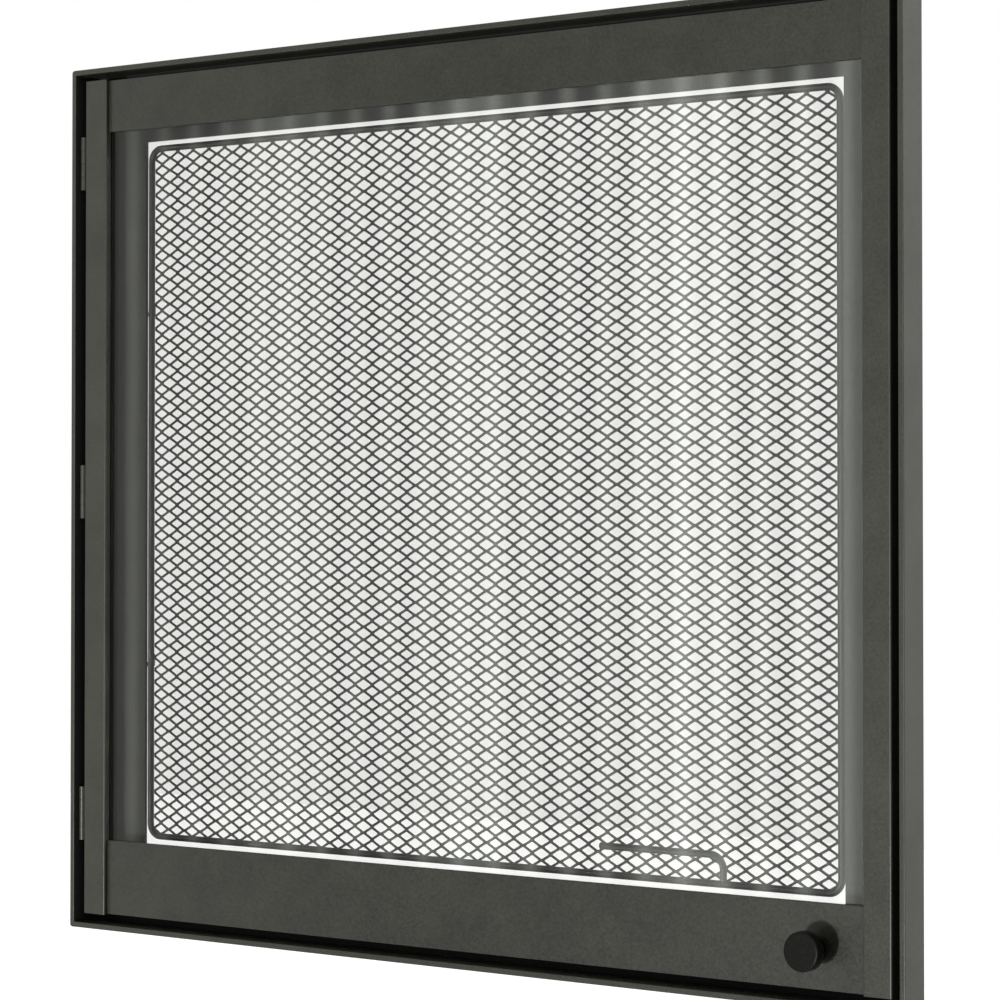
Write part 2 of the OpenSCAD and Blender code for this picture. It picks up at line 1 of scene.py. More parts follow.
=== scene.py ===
"""Finishes for a fireplace glass door: painted steel casing and door, ceramic glass, an
expanded-mesh spark screen on a bent rod, a turning knob, woven glass tape and a rope seal."""

import math

import bmesh
import bpy
from bpy.props import FloatProperty, FloatVectorProperty, IntProperty, PointerProperty
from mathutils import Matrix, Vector


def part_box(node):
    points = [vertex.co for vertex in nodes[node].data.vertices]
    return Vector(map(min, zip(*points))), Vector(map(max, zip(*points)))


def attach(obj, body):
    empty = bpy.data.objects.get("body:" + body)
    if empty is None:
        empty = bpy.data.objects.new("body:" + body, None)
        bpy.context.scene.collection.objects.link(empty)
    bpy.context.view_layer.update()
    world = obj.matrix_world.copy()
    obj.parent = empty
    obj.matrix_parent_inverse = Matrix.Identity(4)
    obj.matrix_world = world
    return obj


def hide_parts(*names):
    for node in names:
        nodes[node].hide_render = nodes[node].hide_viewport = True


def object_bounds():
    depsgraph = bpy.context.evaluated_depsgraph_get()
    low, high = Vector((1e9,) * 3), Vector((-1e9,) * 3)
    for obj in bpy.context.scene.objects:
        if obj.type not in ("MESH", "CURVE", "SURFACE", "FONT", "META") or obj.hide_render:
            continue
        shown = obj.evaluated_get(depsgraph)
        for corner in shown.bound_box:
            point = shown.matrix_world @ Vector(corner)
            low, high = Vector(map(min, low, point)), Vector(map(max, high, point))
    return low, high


bl_info = {
    "name": "Fireplace Glass Door Finishes",
    "version": (1, 0, 0),
    "blender": (4, 5, 0),
    "location": "3D View > Sidebar > Glass Door",
    "description": "Finishes the glass door's pieces and sets its stage",
    "category": "Object",
}

MM = 0.001
SIDES = ("top", "bottom", "left", "right")
HEIGHTS = ("low", "mid", "top")

# Most of a noise texture's values lie between these, as a Map Range node is told.
NOISE_SPAN = {"From_Min": 0.3, "From_Max": 0.7}

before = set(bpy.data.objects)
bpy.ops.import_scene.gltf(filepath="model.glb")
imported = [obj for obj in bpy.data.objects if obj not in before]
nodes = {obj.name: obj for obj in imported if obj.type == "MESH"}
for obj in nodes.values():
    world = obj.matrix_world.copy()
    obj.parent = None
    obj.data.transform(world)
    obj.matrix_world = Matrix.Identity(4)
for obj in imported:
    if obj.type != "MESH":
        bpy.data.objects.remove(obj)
cad_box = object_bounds()


# ------------------------------------------------------------------ small helpers


def srgb(code):
    """A hex colour such as #4a4a44 as linear red, green and blue."""
    parts = [int(code[i : i + 2], 16) / 255 for i in (1, 3, 5)]
    return tuple(c / 12.92 if c <= 0.04045 else ((c + 0.055) / 1.055) ** 2.4
                 for c in parts)


def length_prop(name, text, value, low=0.0, high=10.0):
    """A size in metres that a user may change."""
    return FloatProperty(name=name, description=text, default=value, min=low, max=high,
                         unit="LENGTH", precision=5)


def colour_prop(name, text, code):
    """A finish colour that a user may change."""
    return FloatVectorProperty(name=name, description=text, default=srgb(code), min=0.0,
                               max=1.0, size=3, subtype="COLOR")


def add_node(tree, kind, inputs=None, **settings):
    """Adds one node. inputs maps an input's name or number to the output that feeds it, or
    to its value. A setting with an input's name (spaces as _) sets that input, and any
    other setting is one of the node's own."""
    made = tree.nodes.new(kind)
    for key, value in settings.items():
        socket = made.inputs.get(key.replace("_", " "))
        if socket is None:
            setattr(made, key, value)
        else:
            socket.default_value = value
    for key, source in (inputs or {}).items():
        if isinstance(source, bpy.types.NodeSocket):
            tree.links.new(source, made.inputs[key])
        else:
            made.inputs[key].default_value = source
    return made


def new_material(name):
    """An empty node material and its tree."""
    material = bpy.data.materials.new(name)
    material.use_nodes = True
    material.node_tree.nodes.clear()
    return material, material.node_tree


def finish_surface(tree, shader):
    """Links a shader to the material's output."""
    add_node(tree, "ShaderNodeOutputMaterial", {"Surface": shader})


def wear_material(name, material):
    """Gives a CAD node this material in every slot."""
    node = nodes[name]
    if not node.data.materials:
        node.data.materials.append(material)
    for slot in node.material_slots:
        slot.material = material


def object_coordinates(tree):
    """Place on the piece, in metres, for patterns."""
    return add_node(tree, "ShaderNodeTexCoord").outputs["Object"]


def link_new_mesh(name, mesh, material, body, node_name):
    """Puts a finished mesh in the scene in place of a CAD node."""
    if len(mesh.polygons) == 0:
        raise RuntimeError(name + " came out with no faces")
    piece = bpy.data.objects.new(name, mesh)
    bpy.context.scene.collection.objects.link(piece)
    mesh.materials.clear()
    mesh.materials.append(material)
    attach(piece, body)
    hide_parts(node_name)
    return piece


# ------------------------------------------------------------------ finishes


def painted_steel(name, colour, roughness, peel_mm, peel_depth_mm=0.01, shade=0.35,
                  shine=0.4, painted_gap_shade=None):
    """Sheet steel under heat-proof paint, put on by spray: satin, with a faint orange peel, a
    slightly cloudy tone where the coat is thicker, and no metal showing. shade is how far that
    tone swings, and shine the strength of the gloss. The last argument is the half width, half
    height and colour of a space inside which the faces get painted shade: a dark rough coat
    that stands for the shade in the gap round the door."""
    cloud_mm, grit_mm = 40, 2.2
    material, tree = new_material(name)
    place = object_coordinates(tree)
    cloud = add_node(tree, "ShaderNodeTexNoise", {"Vector": place},
                     Scale=1 / (cloud_mm * MM), Detail=3.0, Roughness=0.55)
    grit = add_node(tree, "ShaderNodeTexNoise", {"Vector": place},
                    Scale=1 / (grit_mm * MM), Detail=2.0, Roughness=0.6)
    peel = add_node(tree, "ShaderNodeTexNoise", {"Vector": place},
                    Scale=1 / (peel_mm * MM), Detail=1.5, Roughness=0.5)
    # The two noises together lie mostly between 0.6 and 1.4.
    tone = add_node(tree, "ShaderNodeMath",
                    {0: cloud.outputs["Fac"], 1: grit.outputs["Fac"]}, operation="ADD")
    spread = add_node(tree, "ShaderNodeMapRange", {"Value": tone.outputs[0]},
                      From_Min=0.6, From_Max=1.4, To_Min=1 - shade, To_Max=1 + shade)
    coat = add_node(tree, "ShaderNodeVectorMath", {0: spread.outputs["Result"], 1: colour},
                    operation="MULTIPLY").outputs[0]
    sheen = add_node(tree, "ShaderNodeMapRange", {"Value": grit.outputs["Fac"]},
                     To_Min=roughness - 0.04, To_Max=roughness + 0.05,
                     **NOISE_SPAN).outputs["Result"]
    # Painted shade: faces in the gap round the door turn dark and rough.
    if painted_gap_shade:
        coat, sheen = paint_shade_inside(tree, place, coat, sheen, painted_gap_shade)
    bump = add_node(tree, "ShaderNodeBump", {"Height": peel.outputs["Fac"]},
                    Strength=0.5, Distance=peel_depth_mm * MM)
    shader = add_node(tree, "ShaderNodeBsdfPrincipled",
                      {"Base Color": coat, "Roughness": sheen,
                       "Normal": bump.outputs["Normal"]},
                      Specular_IOR_Level=shine)
    finish_surface(tree, shader.outputs[0])
    return material


def paint_shade_inside(tree, place, coat, sheen, painted_gap_shade):
    """Paints shade on faces inside a rectangle in the XZ plane: the coat there turns dark and
    rough, standing for the shade in the gap round the door.
    """
    half_x, half_z, gap_shade_colour = painted_gap_shade
    gap_shade_roughness = 0.95
    parts = add_node(tree, "ShaderNodeSeparateXYZ", {0: place})
    inside = []
    for axis, half in (("X", half_x), ("Z", half_z)):
        far = add_node(tree, "ShaderNodeMath", {0: parts.outputs[axis]},
                       operation="ABSOLUTE")
        near = add_node(tree, "ShaderNodeMath", {0: far.outputs[0], 1: half},
                        operation="LESS_THAN")
        inside.append(near.outputs[0])
    both = add_node(tree, "ShaderNodeMath", {0: inside[0], 1: inside[1]},
                    operation="MULTIPLY").outputs[0]
    # A Mix node's numbers are on inputs 2 and 3 and its colours on inputs 6 and 7.
    colours = add_node(tree, "ShaderNodeMix", {0: both, 6: coat, 7: (*gap_shade_colour, 1.0)},
                       data_type="RGBA")
    rough = add_node(tree, "ShaderNodeMix", {0: both, 2: sheen, 3: gap_shade_roughness},
                     data_type="FLOAT")
    return colours.outputs[2], rough.outputs[0]


def blacked_steel(name, colour, roughness, turned_mm):
    """Steel after a hot black oxide bath: dark metal with fine turning marks, and a tone
    that wanders a little where the bath took more or less."""
    bath_mm = 6
    material, tree = new_material(name)
    place = object_coordinates(tree)
    marks = add_node(tree, "ShaderNodeTexNoise", {"Vector": place},
                     Scale=1 / (turned_mm * MM), Detail=2.0)
    bath = add_node(tree, "ShaderNodeTexNoise", {"Vector": place},
                    Scale=1 / (bath_mm * MM), Detail=2.0)
    tone = add_node(tree, "ShaderNodeMapRange", {"Value": bath.outputs["Fac"]},
                    To_Min=0.85, To_Max=1.15, **NOISE_SPAN)
    coat = add_node(tree, "ShaderNodeVectorMath", {0: tone.outputs["Result"], 1: colour},
                    operation="MULTIPLY")
    rough = add_node(tree, "ShaderNodeMapRange", {"Value": marks.outputs["Fac"]},
                     To_Min=roughness - 0.06, To_Max=roughness + 0.08, **NOISE_SPAN)
    shader = add_node(tree, "ShaderNodeBsdfPrincipled",
                      {"Base Color": coat.outputs[0], "Roughness": rough.outputs["Result"]},
                      Metallic=1.0)
    finish_surface(tree, shader.outputs[0])
    return material


def ceramic_glass(name, colour):
    """Clear glass ceramic with a heat-reflecting oxide coat: drawn, fire-polished faces
    and a faint warm grey tint. The coat mirrors more of what is around than bare glass
    does. To shadow rays the pane is open air, so lamps shine through it on to the screen."""
    material, tree = new_material(name)
    pane = add_node(tree, "ShaderNodeBsdfPrincipled", Base_Color=(*colour, 1.0),
                    Roughness=0.0, IOR=1.5, Transmission_Weight=1.0, Coat_Weight=1.0,
                    Coat_Roughness=0.0, Coat_IOR=1.75)
    open_air = add_node(tree, "ShaderNodeBsdfTransparent", Color=(*colour, 1.0))
    path = add_node(tree, "ShaderNodeLightPath")
    mixed = add_node(tree, "ShaderNodeMixShader",
                     {0: path.outputs["Is Shadow Ray"], 1: pane.outputs[0],
                      2: open_air.outputs[0]})
    finish_surface(tree, mixed.outputs[0])
    return material


def woven_fibre(name, colour, thread_mm, depth_mm):
    """Glass-fibre yarn: matte, grey, a plain weave of soft threads with stray fibres. Its
    colour is darker where the weave dips between threads, which is painted shade, and mottled
    at random by the stray fibres.
    """
    stray_mm = 0.5
    material, tree = new_material(name)
    place = object_coordinates(tree)
    scale = 1 / (thread_mm * MM) / 2
    turn = add_node(tree, "ShaderNodeMapping", {"Vector": place},
                    Rotation=(0.0, math.radians(45), 0.0))
    threads = [add_node(tree, "ShaderNodeTexWave", {"Vector": turn.outputs[0]},
                        wave_type="BANDS", bands_direction=way, wave_profile="SIN",
                        Scale=scale, Distortion=0.6, Detail=1.0).outputs["Fac"]
               for way in ("X", "Z")]
    weave = add_node(tree, "ShaderNodeMath", {0: threads[0], 1: threads[1]},
                     operation="MULTIPLY")
    fuzz = add_node(tree, "ShaderNodeTexNoise", {"Vector": place},
                    Scale=1 / (stray_mm * MM), Detail=3.0)
    # Painted shade: the colour follows the weave's height and is darker where the weave dips
    # between threads.
    tone = add_node(tree, "ShaderNodeMapRange", {"Value": weave.outputs[0]},
                    To_Min=0.6, To_Max=1.25)
    fibre_mottle_and_weave_shade = add_node(tree, "ShaderNodeMath",
                       {0: tone.outputs["Result"], 1: fuzz.outputs["Fac"], 2: 0.4},
                       operation="MULTIPLY_ADD")
    coat = add_node(tree, "ShaderNodeVectorMath", {0: fibre_mottle_and_weave_shade.outputs[0], 1: colour},
                    operation="MULTIPLY")
    height = add_node(tree, "ShaderNodeMath",
                      {0: weave.outputs[0], 1: fuzz.outputs["Fac"]}, operation="ADD")
    bump = add_node(tree, "ShaderNodeBump", {"Height": height.outputs[0]},
                    Strength=0.8, Distance=depth_mm * MM)
    shader = add_node(tree, "ShaderNodeBsdfPrincipled",
                      {"Base Color": coat.outputs[0], "Normal": bump.outputs["Normal"]},
                      Roughness=0.95, Specular_IOR_Level=0.2)
    finish_surface(tree, shader.outputs[0])
    return material


# ------------------------------------------------------------------ settings


class DoorColours(bpy.types.PropertyGroup):
    """Colours of the finishes."""

    steel: colour_prop("Steel paint", "Casing, stiles and hinges", "#33342c")
    # Painted shade: the rails have the stiles' paint made a shade darker, to stand for the
    # darker light on them.
    rails: colour_prop("Rail paint", "The door's folded rails", "#2e2f28")
    # Painted shade: a dark coat on the casing's inner faces, standing for the shade in the gap
    # round the door.
    gap_shade_colour: colour_prop("Primer", "Inner edges of the casing, out of the spray", "#161615")
    inner: colour_prop("Inner steel paint", "Back plates, retainers and latch", "#191a18")
    screen: colour_prop("Screen paint", "Spark screen rod, pull and mesh", "#141412")
    knob: colour_prop("Knob", "Knob's black finish", "#131310")
    black_oxide: colour_prop("Black oxide", "Screws, pins and nut", "#303030")
    glass: colour_prop("Glass tint", "What the pane lets through", "#fcfcfa")
    tape: colour_prop("Glass tape", "Woven tape round the pane", "#8a8880")
    rope: colour_prop("Rope seal", "Rope between door and back plate", "#4c4b47")


class DoorSizes(bpy.types.PropertyGroup):
    """Sizes of the made pieces."""

    mesh_pitch_x: length_prop("Mesh pitch across", "Long way of one opening", 19.63 * MM, 0.004)
    mesh_pitch_z: length_prop("Mesh pitch up", "Short way of one opening", 11.444 * MM, 0.004)
    mesh_start_x: length_prop("Mesh start across", "Middle of one large opening",
                              -1.5 * MM, -1.0)
    mesh_start_z: length_prop("Mesh start up", "Middle of one large opening", 4.24 * MM, -1.0)
    mesh_thick: length_prop("Mesh thickness", "Front of the strands to their back", 0.8 * MM,
                            0.0003)
    strand_wide: length_prop("Strand width", "Width of one strand of the mesh", 2.15 * MM,
                             0.0005, 0.004)
    strand_ridge: length_prop("Strand ridge", "How far the strand's middle stands proud",
                              0.15 * MM)
    rope_lay: length_prop("Rope lay", "Length of one turn of the rope's strands", 22 * MM,
                          0.002)
    rope_step: length_prop("Rope step", "Distance between rings of the rope", 2.2 * MM, 0.0005)
    rope_strands: IntProperty(name="Rope strands", description="Strands in the rope",
                              default=6, min=2, max=12)
    rope_groove: FloatProperty(name="Rope groove", default=0.16, min=0, max=0.5,
                               description="Depth between strands, as a share of the radius")


class DoorStage(bpy.types.PropertyGroup):
    """Camera, floor and lights."""

    camera_place: FloatVectorProperty(name="Camera", description="Camera's place",
                                      default=(1.66509, -2.17170, -0.00958), size=3,
                                      subtype="TRANSLATION", unit="LENGTH")
    camera_yaw: FloatProperty(name="Yaw", description="Camera's turn to the left",
                              default=math.radians(36.917), subtype="ANGLE")
    camera_pitch: FloatProperty(name="Pitch", description="Camera's tilt upwards",
                                default=math.radians(1.128), subtype="ANGLE")
    camera_lens: FloatProperty(name="Lens", description="Focal length in millimetres",
                               default=113.258, min=10, max=400)
    camera_shift: FloatProperty(name="Shift", description="Framing shift up and down",
                                default=-0.05426, min=-1, max=1)
    floor_drop: length_prop("Floor drop", "Bottom of the casing to the floor", 1.6)
    key_strength: FloatProperty(name="Key", description="Strength of the key light",
                                default=2.4, min=0, max=20)
    key_size: FloatProperty(name="Key size", description="Angular size of the key light",
                            default=math.radians(5), subtype="ANGLE")
    side_strength: FloatProperty(name="Side light", description="Strength from the right",
                                 default=3.4, min=0, max=20)
    fill: FloatProperty(name="Fill", description="Even light from all round", default=0.22,
                        min=0, max=2)


# ------------------------------------------------------------------ made pieces


def opening_rings(long_pitch, short_pitch, strand):
    """Outlines of one large and one small opening of the mesh, with the lines midway
    along the strands round them. Each is (midline points, opening points, groups, middle),
    where a group lists which opening points belong to one midline point."""
    # Half lengths of the bonds beside a large opening and above it, and half lengths of
    # the blunt ends of each opening, at its sides and at its top.
    bond_a, bond_b = 0.5 * MM, 0.4 * MM
    tip, cap = 0.45 * MM, 0.7 * MM
    x, z = long_pitch / 2, short_pitch / 2
    lean = math.atan2(z - bond_a, x - bond_b)
    across, up = strand / 2 / math.sin(lean), strand / 2 / math.cos(lean)

    def opening(tip_x, tip_z):
        side = tip_x - across - tip / math.tan(lean)
        top = tip_z - up - cap * math.tan(lean)
        return [(side, -tip), (side, tip), (cap, top), (-cap, top),
                (-side, tip), (-side, -tip), (-cap, -top), (cap, -top)]

    large_mid = [(x, -bond_a), (x, bond_a), (bond_b, z), (-bond_b, z),
                 (-x, bond_a), (-x, -bond_a), (-bond_b, -z), (bond_b, -z)]
    large = opening(x + bond_a / math.tan(lean), z + bond_b * math.tan(lean))
    small_mid = [(x - bond_b, 0), (0, z - bond_a), (bond_b - x, 0), (0, bond_a - z)]
    small = opening(x - bond_b, z - bond_a)
    return (
        (large_mid, large, [[i] for i in range(8)], (0, 0)),
        (small_mid, small, [[0, 1], [2, 3], [4, 5], [6, 7]], (x, z)),
    )


def mesh_cell(sizes):
    """One large and one small opening of expanded metal, as a mesh round the origin."""
    cell = bmesh.new()
    depth = sizes.mesh_thick

    def ring(points, middle, y):
        return [cell.verts.new((middle[0] + x, y, middle[1] + z)) for x, z in points]

    rings = opening_rings(sizes.mesh_pitch_x, sizes.mesh_pitch_z, sizes.strand_wide)
    for mid, hole, groups, middle in rings:
        front_mid, front_hole = ring(mid, middle, 0.0), ring(hole, middle, sizes.strand_ridge)
        back_mid, back_hole = ring(mid, middle, depth), ring(hole, middle, depth)
        count = len(groups)
        for i, group in enumerate(groups):
            after = (i + 1) % count
            last, first = group[-1], groups[after][0]
            cell.faces.new((front_mid[i], front_mid[after], front_hole[first],
                            front_hole[last]))
            cell.faces.new((back_mid[after], back_mid[i], back_hole[last],
                            back_hole[first]))
            for a, b in zip(group, group[1:]):
                cell.faces.new((front_mid[i], front_hole[b], front_hole[a]))
                cell.faces.new((back_mid[i], back_hole[a], back_hole[b]))
        total = len(hole)
        for a in range(total):
            b = (a + 1) % total
            cell.faces.new((front_hole[a], front_hole[b], back_hole[b], back_hole[a]))
    mesh = bpy.data.meshes.new("mesh_cell")
    cell.to_mesh(mesh)
    cell.free()
    return mesh


def name_inputs(tree, **kinds):
    """Names a geometry tree's inputs and its output, and gives back the inputs."""
    for name, kind in kinds.items():
        tree.interface.new_socket(name=name, in_out="INPUT", socket_type="NodeSocket" + kind)
    tree.interface.new_socket(name="Geometry", in_out="OUTPUT",
                              socket_type="NodeSocketGeometry")
    return add_node(tree, "NodeGroupInput").outputs


def repeat_tree():
    """Geometry nodes: repeats a cell on a grid in the XZ plane and joins the strands."""
    weld = 0.01 * MM
    tree = bpy.data.node_groups.new("expanded_metal", "GeometryNodeTree")
    given = name_inputs(tree, Geometry="Geometry", Cell="Object", Columns="Int", Rows="Int",
                        Width="Float", Height="Float", Middle="Vector", Material="Material")
    grid = add_node(tree, "GeometryNodeMeshGrid",
                    {"Size X": given["Width"], "Size Y": given["Height"],
                     "Vertices X": given["Columns"], "Vertices Y": given["Rows"]})
    stood = add_node(tree, "GeometryNodeTransform",
                     {"Geometry": grid.outputs["Mesh"], "Translation": given["Middle"]},
                     Rotation=(math.radians(90), 0.0, 0.0))
    points = add_node(tree, "GeometryNodeMeshToPoints", {"Mesh": stood.outputs[0]})
    cell = add_node(tree, "GeometryNodeObjectInfo", {"Object": given["Cell"]})
    placed = add_node(tree, "GeometryNodeInstanceOnPoints",
                      {"Points": points.outputs[0], "Instance": cell.outputs["Geometry"]})
    real = add_node(tree, "GeometryNodeRealizeInstances", {"Geometry": placed.outputs[0]})
    joined = add_node(tree, "GeometryNodeMergeByDistance", {"Geometry": real.outputs[0]},
                      Distance=weld)
    worn = add_node(tree, "GeometryNodeSetMaterial",
                    {"Geometry": joined.outputs[0], "Material": given["Material"]})
    add_node(tree, "NodeGroupOutput", {"Geometry": worn.outputs[0]})
    return tree


def rope_tree():
    """Geometry nodes: lays a rope of twisted strands along the carrier's edges."""
    section_points = 24
    tree = bpy.data.node_groups.new("laid_rope", "GeometryNodeTree")
    given = name_inputs(tree, Geometry="Geometry", Radius="Float", Lay="Float", Step="Float",
                        Strands="Int", Groove="Float", Material="Material")
    path = add_node(tree, "GeometryNodeMeshToCurve", {"Mesh": given["Geometry"]})
    even = add_node(tree, "GeometryNodeResampleCurve",
                    {"Curve": path.outputs[0], "Length": given["Step"]}, mode="LENGTH")
    along = add_node(tree, "GeometryNodeSplineParameter")
    turns = add_node(tree, "ShaderNodeMath", {0: along.outputs["Length"], 1: given["Lay"]},
                     operation="DIVIDE")
    angle = add_node(tree, "ShaderNodeMath", {0: turns.outputs[0], 1: 2 * math.pi},
                     operation="MULTIPLY")
    twisted = add_node(tree, "GeometryNodeSetCurveTilt",
                       {"Curve": even.outputs[0], "Tilt": angle.outputs[0]})
    ring = add_node(tree, "GeometryNodeCurvePrimitiveCircle", {"Radius": given["Radius"]},
                    Resolution=section_points)
    spot = add_node(tree, "GeometryNodeSplineParameter")
    lobes = add_node(tree, "ShaderNodeMath", {0: spot.outputs["Factor"], 1: given["Strands"]},
                     operation="MULTIPLY")
    swing = add_node(tree, "ShaderNodeMath", {0: lobes.outputs[0], 1: math.pi},
                     operation="MULTIPLY")
    wave = add_node(tree, "ShaderNodeMath", {0: swing.outputs[0]}, operation="SINE")
    bulge = add_node(tree, "ShaderNodeMath", {0: wave.outputs[0]}, operation="ABSOLUTE")
    out = add_node(tree, "ShaderNodeMath", {0: bulge.outputs[0], 1: given["Groove"]},
                   operation="MULTIPLY")
    shrink = add_node(tree, "ShaderNodeMath", {0: out.outputs[0], 1: given["Groove"]},
                      operation="SUBTRACT")
    factor = add_node(tree, "ShaderNodeMath", {0: shrink.outputs[0], 1: 1.0},
                      operation="ADD")
    here = add_node(tree, "GeometryNodeInputPosition")
    moved = add_node(tree, "ShaderNodeVectorMath",
                     {0: here.outputs[0], "Scale": factor.outputs[0]}, operation="SCALE")
    lobed = add_node(tree, "GeometryNodeSetPosition",
                     {"Geometry": ring.outputs["Curve"], "Position": moved.outputs[0]})
    swept = add_node(tree, "GeometryNodeCurveToMesh",
                     {"Curve": twisted.outputs[0], "Profile Curve": lobed.outputs[0]})
    smooth = add_node(tree, "GeometryNodeSetShadeSmooth", {"Geometry": swept.outputs[0]})
    worn = add_node(tree, "GeometryNodeSetMaterial",
                    {"Geometry": smooth.outputs[0], "Material": given["Material"]})
    add_node(tree, "NodeGroupOutput", {"Geometry": worn.outputs[0]})
    return tree


def run_tree(carrier, tree, values):
    """Runs geometry nodes on a carrier object and gives back the result as a mesh."""
    modifier = carrier.modifiers.new("made", "NODES")
    modifier.node_group = tree
    for item in tree.interface.items_tree:
        if item.in_out == "INPUT" and item.name in values:
            modifier[item.identifier] = values[item.name]
    bpy.context.view_layer.update()
    graph = bpy.context.evaluated_depsgraph_get()
    mesh = bpy.data.meshes.new_from_object(carrier.evaluated_get(graph))
    carrier.modifiers.remove(modifier)
    return mesh


def carrier_object(name, mesh=None):
    """A helper object that is taken out again once its piece is made."""
    made = bpy.data.objects.new(name, mesh or bpy.data.meshes.new(name))
    bpy.context.scene.collection.objects.link(made)
    return made


def trim_to_box(mesh, low, high):
    """Cuts a sheet in the XZ plane to a box and closes the cut strand ends. Points
    within a ten-millionth of a metre of a cut count as on it."""
    on_the_cut = 1e-7
    sheet = bmesh.new()
    sheet.from_mesh(mesh)
    for axis in (0, 2):
        for limit, sign in ((low[axis], -1.0), (high[axis], 1.0)):
            normal = Vector((0.0, 0.0, 0.0))
            normal[axis] = sign
            spot = Vector((0.0, 0.0, 0.0))
            spot[axis] = limit
            geometry = list(sheet.verts) + list(sheet.edges) + list(sheet.faces)
            bmesh.ops.bisect_plane(sheet, geom=geometry, dist=on_the_cut, plane_co=spot,
                                   plane_no=normal, clear_outer=True)
            open_edges = [e for e in sheet.edges if len(e.link_faces) == 1]
            bmesh.ops.holes_fill(sheet, edges=open_edges, sides=0)
    bmesh.ops.recalc_face_normals(sheet, faces=sheet.faces)
    sheet.to_mesh(mesh)
    sheet.free()
    mesh.update()


def rounded_path(low, high, y, bend, steps):
    """Points of a rectangle with round corners in the XZ plane, as a closed edge mesh."""
    points = []
    for sx, sz, start in ((1, 1, 0), (-1, 1, 90), (-1, -1, 180), (1, -1, 270)):
        cx = (high[0] if sx > 0 else low[0]) - sx * bend
        cz = (high[1] if sz > 0 else low[1]) - sz * bend
        for i in range(steps + 1):
            a = math.radians(start + 90 * i / steps)
            points.append((cx + bend * math.cos(a), y, cz + bend * math.sin(a)))
    mesh = bpy.data.meshes.new("path")
    count = len(points)
    mesh.from_pydata(points, [(i, (i + 1) % count) for i in range(count)], [])
    return mesh


def mitred_ring(profile, low, high):
    """Sweeps a profile of (distance in from the edge, y) round a rectangle."""
    points, faces = [], []
    corners = ((high[0], high[2], 1, 1), (low[0], high[2], -1, 1),
               (low[0], low[2], -1, -1), (high[0], low[2], 1, -1))
    for x, z, sx, sz in corners:
        points += [(x - sx * d, y, z - sz * d) for d, y in profile]
    n = len(profile)
    for c in range(4):
        for i in range(n):
            j = (i + 1) % n
            a, b = c * n, ((c + 1) % 4) * n
            faces.append((a + i, a + j, b + j, b + i))
    mesh = bpy.data.meshes.new("ring")
    mesh.from_pydata(points, [], faces)
    made = bmesh.new()
    made.from_mesh(mesh)
    bmesh.ops.recalc_face_normals(made, faces=made.faces)
    made.to_mesh(mesh)
    made.free()
    return mesh


# ------------------------------------------------------------------ operators


class PieceOperator(bpy.types.Operator):
    """Shared by the operators that finish pieces."""

    bl_options = {"REGISTER", "UNDO"}

    @property
    def colours(self):
        return bpy.context.scene.door_colours

    @property
    def sizes(self):
        return bpy.context.scene.door_sizes


class GLASSDOOR_OT_paint_frames(PieceOperator):
    """Paint the casing, the door's frame, the hinge leaves and the hidden steel"""

    bl_idname = "glassdoor.paint_frames"
    bl_label = "Paint Casing and Door Frame"

    def execute(self, context):
        colours = self.colours
        steel, satin = tuple(colours.steel), {"roughness": 0.33, "peel_mm": 1.1}
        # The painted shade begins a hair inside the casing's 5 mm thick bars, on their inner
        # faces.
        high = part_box("casing_right")[1]
        shade_inset = 4.9 * MM
        casing = painted_steel("satin_stove_paint_on_casing_with_gap_shade", steel, **satin,
                               painted_gap_shade=(high.x - shade_inset, high.z - shade_inset,
                                       tuple(colours.gap_shade_colour)))
        # The rails' paint is the stiles' paint a shade darker: painted shade.
        rails = painted_steel("satin_stove_paint_on_rails_with_painted_shade", tuple(colours.rails), **satin)
        paint = painted_steel("satin_stove_paint", steel, **satin)
        dark = painted_steel("matt_black_stove_paint", tuple(colours.inner), roughness=0.6,
                             peel_mm=1.4, shine=0.15)
        leaves = ["hinge_leaf_%s_%s" % (part, at) for part in ("casing", "door")
                  for at in HEIGHTS]
        finishes = (
            (casing, ["casing_" + side for side in SIDES]),
            (rails, ["top_rail", "bottom_rail"]),
            (paint, ["hinge_stile", "latch_stile", "glass_seat_left", "glass_seat_right"]
             + leaves),
            (dark, ["back_plate_" + side for side in SIDES]
             + ["retainer_" + side for side in SIDES]
             + ["retainer_bosses", "latch_keeper", "latch_bush", "latch_cam",
                "screen_lugs"]),
        )
        for finish, names in finishes:
            for name in names:
                wear_material(name, finish)
        return {"FINISHED"}


class GLASSDOOR_OT_black_fasteners(PieceOperator):
    """Give screws, pins, spindle, washer and nut their black oxide"""

    bl_idname = "glassdoor.black_fasteners"
    bl_label = "Black Fasteners"

    def execute(self, context):
        oxide = blacked_steel("black_oxide_steel", tuple(self.colours.black_oxide),
                              roughness=0.38, turned_mm=0.3)
        names = ["hinge_screws_casing", "hinge_screws_door", "retainer_screws",
                 "knob_grub_screw", "spindle_washer", "spindle_nut", "knob_spindle"]
        for name in names + ["hinge_pin_" + at for at in HEIGHTS]:
            wear_material(name, oxide)
        return {"FINISHED"}


class GLASSDOOR_OT_finish_knob(PieceOperator):
    """Give the turned knob its matt black coat"""

    bl_idname = "glassdoor.finish_knob"
    bl_label = "Finish Knob"

    def execute(self, context):
        coat = painted_steel("matt_black_knob_coat", tuple(self.colours.knob),
                             roughness=0.33, peel_mm=0.6, peel_depth_mm=0.006, shine=0.1)
        wear_material("knob", coat)
        return {"FINISHED"}


class GLASSDOOR_OT_glaze(PieceOperator):
    """Make the pane clear ceramic glass"""

    bl_idname = "glassdoor.glaze"
    bl_label = "Glaze Door"

    def execute(self, context):
        glass = ceramic_glass("clear_ceramic_glass", tuple(self.colours.glass))
        wear_material("glass_pane", glass)
        return {"FINISHED"}


